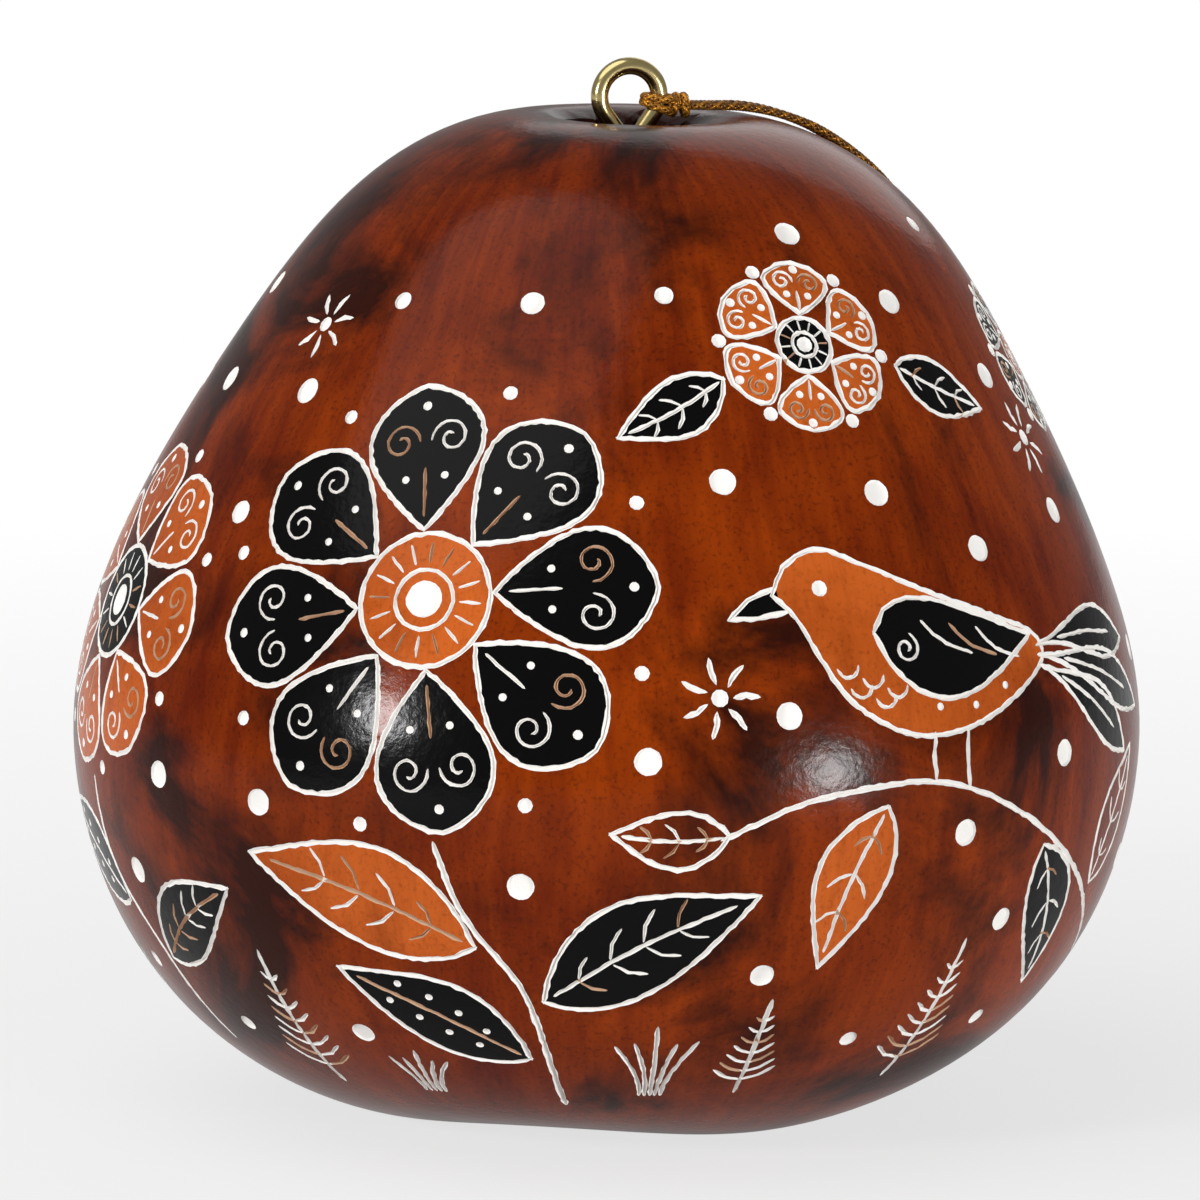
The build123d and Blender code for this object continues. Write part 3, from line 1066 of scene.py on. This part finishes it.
def lay_map(mesh, lining):
    """Lays the skin out by bearing and polar angle, seam at the back, lining on a strip of its own."""
    rays = triples(mesh.vertices, "co") - np.array(HEART)
    polars = np.arctan2(np.hypot(rays[:, 0], rays[:, 1]), rays[:, 2]) / math.pi
    corners = np.empty(len(mesh.loops), dtype=np.int64)
    mesh.loops.foreach_get("vertex_index", corners)
    corners = corners.reshape(-1, 3)
    sides = bearings_of(rays[corners].mean(axis=1))
    across = bearings_of(rays)[corners]
    across = np.clip(across + np.round(sides[:, None] - across), 0.0, 1.0)
    rise = 1.0 - polars[corners]
    rise = np.where(lining[:, None], 0.1 * rise, 0.12 + 0.88 * rise)
    layer = mesh.uv_layers.new(name="OFBake")
    layer.uv.foreach_set("vector", np.stack((across, rise), axis=-1).astype(np.float32).ravel())


class GOURD_OT_skin(bpy.types.Operator):
    """Make the hollow gourd and carve its skin"""

    bl_idname = "gourd.skin"
    bl_label = "Carved skin"

    def execute(self, context):
        body = fitted_sphere("gourd_skin", *OUTER_SPHERE, outwards=False)
        art = Carving(body)
        draw_garden(art)
        cut_carving(body, art)
        body.data.materials.clear()
        for finish in (
            skin_finish(),
            field_finish("scorched_black", art.skin.black),
            field_finish("scraped_orange", art.skin.orange, ORANGE_STAINS),
            flesh_finish("deep_flesh", art.skin.flesh),
            flesh_finish("shallow_flesh", art.skin.tan),
        ):
            body.data.materials.append(finish)
        lay_map(body.data, mark_faces(body, art))
        bpy.ops.object.shade_smooth_by_angle(angle=SKIN_CREASE)
        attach(body, "gourd")
        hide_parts("gourd_shell")
        return {"FINISHED"}


# Stem and eye

# Stump of the stem: rings of its top and their breadth, and the size, height and middle of its crumbs
STUMP_RINGS = 9
STUMP_RING = 0.3 * MM
CRUMB_SIZE = 0.9 * MM
CRUMB_HEIGHT = 1.1 * MM
CRUMB_MIDDLE = 0.55

# Screw eye, as the solid has it
RING_MIDDLE = Vector((1.7, 0.0, 76.05)) * MM
RING_TURN = math.radians(12.0)
RING_RADIUS = 2.26 * MM
RING_ACROSS = Vector((math.cos(RING_TURN), math.sin(RING_TURN), 0.0))
RING_FACING = Vector((math.sin(RING_TURN), -math.cos(RING_TURN), 0.0))
WIRE_RADIUS = 0.65 * MM
NECK_DROP = 3.9 * MM
NECK_BEND = 1.6 * MM
SHANK_FOOT = 64.0 * MM
RING_END_GAP = 0.1 * MM


class GOURD_OT_stem(bpy.types.Operator):
    """Make the crumbly stump of the stem"""

    bl_idname = "gourd.stem"
    bl_label = "Stem scar"

    def execute(self, context):
        low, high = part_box("stem_core")
        bpy.ops.mesh.primitive_cylinder_add(
            vertices=48, radius=(high.x - low.x) / 2, depth=high.z - low.z, location=(low + high) / 2
        )
        stump = settle("stem_scar")
        bpy.ops.object.mode_set(mode="EDIT")
        bpy.ops.mesh.select_all(action="DESELECT")
        bpy.ops.object.mode_set(mode="OBJECT")
        for face in stump.data.polygons:
            face.select = face.normal.z > NEARLY_UP
        bpy.ops.object.mode_set(mode="EDIT")
        for _ in range(STUMP_RINGS):
            bpy.ops.mesh.inset(thickness=STUMP_RING)
        bpy.ops.mesh.poke()
        bpy.ops.object.mode_set(mode="OBJECT")
        top = stump.vertex_groups.new(name="top")
        top.add([v.index for v in stump.data.vertices if v.co.z > high.z - 0.01 * MM], 1.0, "REPLACE")
        crumbs = bpy.data.textures.new("stem_crumbs", "CLOUDS")
        crumbs.noise_scale = CRUMB_SIZE
        crumbs.noise_depth = 3
        rough = stump.modifiers.new("rough", "DISPLACE")
        rough.texture = crumbs
        rough.texture_coords = "LOCAL"
        rough.direction = "Z"
        rough.vertex_group = top.name
        rough.strength = CRUMB_HEIGHT
        rough.mid_level = CRUMB_MIDDLE
        bpy.ops.object.modifier_apply(modifier=rough.name)
        stump.data.materials.append(dry_finish("stem_cork", **CORK))
        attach(stump, "gourd")
        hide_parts("stem_core")
        return {"FINISHED"}


def polar_point(radius, turn):
    """Point of the ring's plane at a radius and turn."""
    return radius * Vector((math.cos(turn), math.sin(turn)))


def eye_line():
    """Middle of the eye's wire in the ring's plane: shank, neck, ring and free end."""
    slant = math.asin(RING_RADIUS / NECK_DROP)
    side = math.sqrt(NECK_DROP**2 - RING_RADIUS**2)
    rise = Vector((-math.sin(slant), math.cos(slant)))
    fall = Vector((math.sin(slant), math.cos(slant)))
    neck = Vector((0.0, -NECK_DROP))
    lead = NECK_BEND * math.tan(slant / 2)
    points = [Vector((0.0, SHANK_FOOT - RING_MIDDLE.z)), Vector((0.0, -NECK_DROP - 2 * lead))]
    pivot = neck + Vector((-NECK_BEND, -lead))
    points += [pivot + polar_point(NECK_BEND, slant * step / 8) for step in range(9)]
    start = math.atan2(*(neck + rise * side).yx)
    sweep = math.pi + 2 * slant
    points += [polar_point(RING_RADIUS, start - sweep * step / 64) for step in range(65)]
    clear = WIRE_RADIUS + RING_END_GAP + WIRE_RADIUS * math.cos(2 * slant)
    points.append(neck + fall * (clear / math.sin(2 * slant)))
    return points


class GOURD_OT_eye(bpy.types.Operator):
    """Bend the brass screw eye from one wire"""

    bl_idname = "gourd.eye"
    bl_label = "Screw eye"

    def execute(self, context):
        places = [RING_MIDDLE + RING_ACROSS * flat.x + UP * flat.y for flat in eye_line()]
        eye, _ = new_curve("brass_eye", "POLY", places)
        eye.data.bevel_depth = WIRE_RADIUS
        eye.data.bevel_resolution = 7
        eye.data.use_fill_caps = True
        only(eye)
        bpy.ops.object.convert(target="MESH")
        edit(
            eye,
            (bpy.ops.mesh.remove_doubles, {"threshold": 0.002 * MM}),
            (bpy.ops.mesh.normals_make_consistent, {"inside": False}),
        )
        bpy.ops.object.shade_smooth_by_angle(angle=WIRE_CREASE)
        eye.data.materials.clear()
        eye.data.materials.append(brass_finish())
        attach(eye, "gourd")
        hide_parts("screw_eye")
        return {"FINISHED"}


# Cord, hitch and seeds

# Hitch round the ring, as the solid has it, and the knot beside it with each wrap's place and tilt
HITCH_ANGLES = (-21.5, -4.5)
HITCH_RADIUS = 1.1 * MM
KNOT_START = Vector((4.664, 0.630, 75.350)) * MM
KNOT_LINE = Vector((0.9775, 0.2078, -0.0349))
KNOT_LENGTH = 1.5 * MM
KNOT_WRAP_RADIUS = 0.66 * MM
KNOT_WRAPS = ((0.24, 0.22), (0.76, -0.12))
KNOT_TUCK = 0.25 * MM

# Route of the cord in metres: out of the knot, over the shoulder, down to the bight and back
CORD_ROUTE = [
    (0.006217, 0.000531, 0.075298),
    (0.008074, 0.000926, 0.075232),
    (0.0104, 0.0027, 0.0750),
    (0.0133, 0.0050, 0.0742),
    (0.0167, 0.0072, 0.0726),
    (0.0209, 0.0092, 0.0691),
    (0.0239, 0.0114, 0.0645),
    (0.0265, 0.0131, 0.0595),
    (0.0289, 0.0148, 0.0540),
    (0.0310, 0.0165, 0.0485),
    (0.0330, 0.0177, 0.0430),
    (0.0347, 0.0188, 0.0370),
    (0.0357, 0.0195, 0.0312),
    (0.0360, 0.0199, 0.0258),
    (0.0356, 0.0210, 0.0212),
    (0.0346, 0.0227, 0.0187),
    (0.0331, 0.0249, 0.0185),
    (0.0319, 0.0262, 0.0209),
    (0.0316, 0.0263, 0.0256),
    (0.0319, 0.0253, 0.0312),
    (0.0315, 0.0238, 0.0370),
    (0.0304, 0.0219, 0.0430),
    (0.0291, 0.0196, 0.0485),
    (0.0274, 0.0172, 0.0540),
    (0.0255, 0.0149, 0.0595),
    (0.0233, 0.0126, 0.0645),
    (0.0205, 0.0100, 0.0691),
    (0.0161, 0.0080, 0.0727),
    (0.0127, 0.0059, 0.0743),
    (0.0100, 0.0035, 0.0751),
    (0.007900, 0.001748, 0.075232),
    (0.006043, 0.001353, 0.075298),
]

# Braid: tones of its two kinds of yarn, the hitch's painted lighter than the loop's, and the yarns' sizes as
# shares of the cord's diameter
LOOP_TONES = (0.2, 0.62)
# Painted light: the hitch and knot are the same cord as the loop, given lighter yarn tones for the light that
# falls on them
HITCH_LIT_TONES = (0.5, 1.0)
YARN_THICK, YARN_BROAD, YARN_SWAY = 0.1, 0.23, 0.05
CORE_SHARE = 0.62
YARN_CORNERS, CORE_CORNERS = 5, 6

# A direction that no cord starts in, from which its first side is found
CROSSWAYS = (0.31, 0.22, 0.92)


def braid_mesh(path, closed, yarn_tones):
    """Vertices, faces and tones of eight yarns braided about a path."""
    _, cord = settings()
    path = np.array(path)
    steps = np.linalg.norm(np.diff(path, axis=0), axis=1)
    travel = np.concatenate(([0.0], np.cumsum(steps)))
    pitch = travel[-1] / max(round(travel[-1] / cord.pitch), 1) if closed else cord.pitch
    along = np.gradient(path, axis=0)
    if closed:
        along[0] = along[-1] = path[1] - path[-2]
    along /= np.linalg.norm(along, axis=1)[:, None]
    rights = [np.cross(along[0], CROSSWAYS)]
    for direction in along[1:]:
        carried = rights[-1] - direction * np.dot(rights[-1], direction)
        rights.append(carried / np.linalg.norm(carried))
    rights[0] = rights[0] / np.linalg.norm(rights[0])
    rights = np.array(rights)
    ups = np.cross(along, rights)
    thick, broad = YARN_THICK * cord.diameter, YARN_BROAD * cord.diameter
    sway = YARN_SWAY * cord.diameter
    middle = cord.diameter / 2 - thick - sway
    vertices, faces, tones = [], [], []

    def tube(centres, outs, sides, radius_out, radius_side, corners, tone):
        base = len(vertices)
        rows = len(centres)
        for centre, out, aside in zip(centres, outs, sides):
            for corner in range(corners):
                turn = 2 * math.pi * corner / corners
                vertices.append(
                    centre + out * radius_out * math.cos(turn) + aside * radius_side * math.sin(turn)
                )
                tones.append(tone)
        for row in range(rows - 1):
            near, far = base + row * corners, base + (row + 1) * corners
            for corner in range(corners):
                after = (corner + 1) % corners
                faces.append((near + corner, near + after, far + after, far + corner))
        faces.append(tuple(base + corner for corner in reversed(range(corners))))
        faces.append(tuple(base + (rows - 1) * corners + corner for corner in range(corners)))

    for yarn in range(8):
        hand = 1 if yarn < 4 else -1
        turns = hand * 2 * np.pi * travel / pitch + np.pi / 2 * (yarn % 4)
        outs = rights * np.cos(turns)[:, None] + ups * np.sin(turns)[:, None]
        reach = middle + hand * sway * np.cos(4 * turns)
        centres = path + outs * reach[:, None]
        tube(centres, outs, np.cross(along, outs), thick, broad, YARN_CORNERS, yarn_tones[yarn % 2])
    tube(path, rights, ups, CORE_SHARE * middle, CORE_SHARE * middle, CORE_CORNERS, 0.0)
    return vertices, faces, tones


def braid_piece(name, paths, yarn_tones):
    """Object of braided cord along some paths, each with its word on whether it is closed."""
    vertices, faces, tones = [], [], []
    for path, closed in paths:
        more_vertices, more_faces, more_tones = braid_mesh(path, closed, yarn_tones)
        base = len(vertices)
        vertices += more_vertices
        faces += [tuple(base + corner for corner in face) for face in more_faces]
        tones += more_tones
    mesh = bpy.data.meshes.new(name)
    mesh.from_pydata(vertices, [], faces)
    mark = mesh.attributes.new("tone", "FLOAT", "POINT")
    mark.data.foreach_set("value", np.array(tones, dtype=np.float32))
    mesh.materials.append(bpy.data.materials.get("cord_braid") or cord_finish())
    piece = link_new(name, mesh)
    edit(piece, (bpy.ops.mesh.normals_make_consistent, {"inside": False}))
    bpy.ops.object.shade_smooth()
    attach(piece, "cord")
    return piece


class GOURD_OT_cord(bpy.types.Operator):
    """Braid the hanging loop along its route"""

    bl_idname = "gourd.cord"
    bl_label = "Cord loop"

    def execute(self, context):
        holder, spline = new_curve("cord_route", "NURBS", CORD_ROUTE)
        holder.data.resolution_u = 30
        spline.order_u = 3
        spline.use_endpoint_u = True
        context.view_layer.update()
        line = bpy.data.meshes.new_from_object(holder.evaluated_get(context.evaluated_depsgraph_get()))
        path = [tuple(vertex.co) for vertex in line.vertices]
        bpy.data.objects.remove(holder)
        loop = braid_piece("cord_braid", [(path, False)], LOOP_TONES)
        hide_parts("cord_loop")
        return {"FINISHED"}


def ring_path(middle, first, second, radius, steps=44):
    """Closed ring of points about a middle, in the plane of two directions."""
    turns = [2 * math.pi * step / steps for step in range(steps + 1)]
    return [tuple(middle + (first * math.cos(turn) + second * math.sin(turn)) * radius) for turn in turns]


class GOURD_OT_hitch(bpy.types.Operator):
    """Tie the cord's hitch and knot to the ring"""

    bl_idname = "gourd.hitch"
    bl_label = "Hitch"

    def execute(self, context):
        paths = []
        for angle in HITCH_ANGLES:
            out = RING_ACROSS * math.cos(math.radians(angle)) + UP * math.sin(math.radians(angle))
            paths.append((ring_path(RING_MIDDLE + out * RING_RADIUS, out, RING_FACING, HITCH_RADIUS), True))
        level = KNOT_LINE.cross(UP).normalized()
        rise = level.cross(KNOT_LINE).normalized()
        for share, tilt in KNOT_WRAPS:
            middle = KNOT_START + KNOT_LINE * KNOT_LENGTH * share
            lean = (rise + KNOT_LINE * tilt).normalized()
            paths.append((ring_path(middle, level, lean, KNOT_WRAP_RADIUS, 30), True))
        for end in (Vector(CORD_ROUTE[0]), Vector(CORD_ROUTE[-1])):
            start = end - KNOT_LINE * (KNOT_LENGTH + KNOT_TUCK)
            paths.append(([tuple(start.lerp(end, step / 10)) for step in range(11)], False))
        # The hitch's yarns take the lighter tones, which are painted light
        hitch = braid_piece("cord_hitch", paths, HITCH_LIT_TONES)
        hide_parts("cord_knot")
        return {"FINISHED"}


class GOURD_OT_seeds(bpy.types.Operator):
    """Give the loose seeds their husk"""

    bl_idname = "gourd.seeds"
    bl_label = "Seeds"

    def execute(self, context):
        seeds = frame["nodes"]["dried_seeds"]
        seeds.data.materials.clear()
        seeds.data.materials.append(dry_finish("seed_husk", **HUSK))
        return {"FINISHED"}


# Studio

# Lamps, with their places, widths in metres and power in watts
LAMPS = {
    "left_box": ((-0.37, -0.335, 0.16), 0.08, 1.25),
    "right_box": ((0.35, -0.33, 0.04), 0.08, 1.2),
    "top_box": ((-0.22, -0.14, 0.52), 0.60, 1.35),
    "back_box": ((0.15, 0.55, 0.35), 0.45, 0.4),
}
LAMP_TARGET = Vector((0.0, 0.0, 0.035))

# Surround and floor: how bright they are to other rays than the camera's, and how the floor turns to white
SKY_LEVEL, SKY_MIRROR, FLOOR_MIRROR = 0.2, 0.08, 0.4
FLOOR_RADIUS = 3.0
FLOOR_GREY = (0.75, 0.75, 0.75, 1.0)
FLOOR_FADE = (0.06, 0.30, 0.72, 1.0)

# Camera at the photograph's angle
CAMERA_TILT = math.radians(9.0)
CAMERA_DISTANCE = 0.7
CAMERA_AIM = 0.037
CAMERA_VALUES = {"lens": 280.0, "sensor_width": 36.0, "shift_x": -0.0054, "shift_y": 0.0124, "clip_end": 20.0}


def ray_kinds(tree):
    """Whether a ray is the camera's, and whether it is a mirrored one."""
    rays = add(tree, "LightPath")
    return rays["Is Camera Ray"], sums(tree, "MAXIMUM", rays["Is Glossy Ray"], rays["Is Transmission Ray"])


def paper_finish():
    """Pale paper that keeps the shadow and turns to white away from the object."""
    finish, tree, where = new_finish("studio_paper")
    finished(finish, {"Base Color": FLOOR_GREY, "Roughness": 0.9, "Specular IOR Level": 0.1})
    camera, mirror = ray_kinds(tree)
    seen = sums(tree, "MAXIMUM", camera, sums(tree, "MULTIPLY", mirror, FLOOR_MIRROR))
    share = sums(tree, "MULTIPLY", seen, between(tree, size_of(tree, where), *FLOOR_FADE))
    matt = tree.nodes["Principled BSDF"].outputs["BSDF"]
    glow = add(tree, "Emission", {"Color": WHITE, "Strength": 1.0})["Emission"]
    paper = add(tree, "MixShader", {0: share, 1: matt, 2: glow})["Shader"]
    give(tree, tree.nodes["Material Output"], {"Surface": paper})
    return finish


def white_surround():
    """World that is white to the camera and lights the object softly."""
    world = bpy.data.worlds.new("studio_surround")
    world.use_nodes = True
    tree = world.node_tree
    camera, mirror = ray_kinds(tree)
    strength = sums(tree, "ADD", SKY_LEVEL, sums(tree, "MULTIPLY", camera, 1.0 - SKY_LEVEL))
    strength = sums(tree, "ADD", strength, sums(tree, "MULTIPLY", mirror, SKY_MIRROR))
    give(tree, tree.nodes["Background"], {"Color": WHITE, "Strength": strength})
    return world


def soft_box(name, place, width, power):
    """Round soft light that looks at the gourd."""
    lamp = bpy.data.lights.new(name, "AREA")
    lamp.shape = "DISK"
    lamp.size = width
    lamp.energy = power
    holder = link_new(name, lamp)
    holder.location = place
    holder.rotation_euler = (LAMP_TARGET - Vector(place)).to_track_quat("-Z", "Y").to_euler()


class GOURD_OT_stage(bpy.types.Operator):
    """Set up the floor, the lights, the white surround and the camera"""

    bl_idname = "gourd.stage"
    bl_label = "Studio"

    def execute(self, context):
        scene = context.scene
        bpy.ops.mesh.primitive_circle_add(
            vertices=96, radius=FLOOR_RADIUS, fill_type="NGON", location=(0.0, 0.0, 0.0)
        )
        floor = settle("studio_floor")
        floor.data.materials.append(paper_finish())
        scene.world = white_surround()
        for name, lamp in LAMPS.items():
            soft_box(name, *lamp)
        camera = bpy.data.cameras.new("studio_camera")
        for key, value in CAMERA_VALUES.items():
            setattr(camera, key, value)
        holder = link_new("studio_camera", camera)
        back, rise = CAMERA_DISTANCE * math.cos(CAMERA_TILT), CAMERA_DISTANCE * math.sin(CAMERA_TILT)
        holder.location = (0.0, -back, CAMERA_AIM + rise)
        holder.rotation_euler = (math.pi / 2 - CAMERA_TILT, 0.0, 0.0)
        scene.camera = holder
        scene.view_settings.view_transform = "Standard"
        return {"FINISHED"}


PIECES = (
    GOURD_OT_skin,
    GOURD_OT_stem,
    GOURD_OT_eye,
    GOURD_OT_cord,
    GOURD_OT_hitch,
    GOURD_OT_seeds,
    GOURD_OT_stage,
)


class GOURD_PT_panel(bpy.types.Panel):
    """Lists the ornament's pieces and settings"""

    bl_label = "Gourd ornament"
    bl_space_type = "VIEW_3D"
    bl_region_type = "UI"
    bl_category = "Gourd"

    def draw(self, context):
        for piece in PIECES:
            self.layout.operator(piece.bl_idname)
        for group in (context.scene.gourd_skin, context.scene.gourd_cord):
            for key in group.__annotations__:
                self.layout.prop(group, key)


CLASSES = (GourdSkinSettings, GourdCordSettings, *PIECES, GOURD_PT_panel)


def register():
    """Adds the classes and the scene's settings."""
    for kind in CLASSES:
        bpy.utils.register_class(kind)
    bpy.types.Scene.gourd_skin = PointerProperty(type=GourdSkinSettings)
    bpy.types.Scene.gourd_cord = PointerProperty(type=GourdCordSettings)


def unregister():
    """Takes the settings and the classes away."""
    del bpy.types.Scene.gourd_cord
    del bpy.types.Scene.gourd_skin
    for kind in reversed(CLASSES):
        bpy.utils.unregister_class(kind)


def main():
    """Builds all the pieces and the stage."""
    register()
    bpy.ops.gourd.skin()
    bpy.ops.gourd.stem()
    bpy.ops.gourd.eye()
    bpy.ops.gourd.cord()
    bpy.ops.gourd.hitch()
    bpy.ops.gourd.seeds()
    bpy.ops.gourd.stage()


if __name__ == "__main__":
    main()
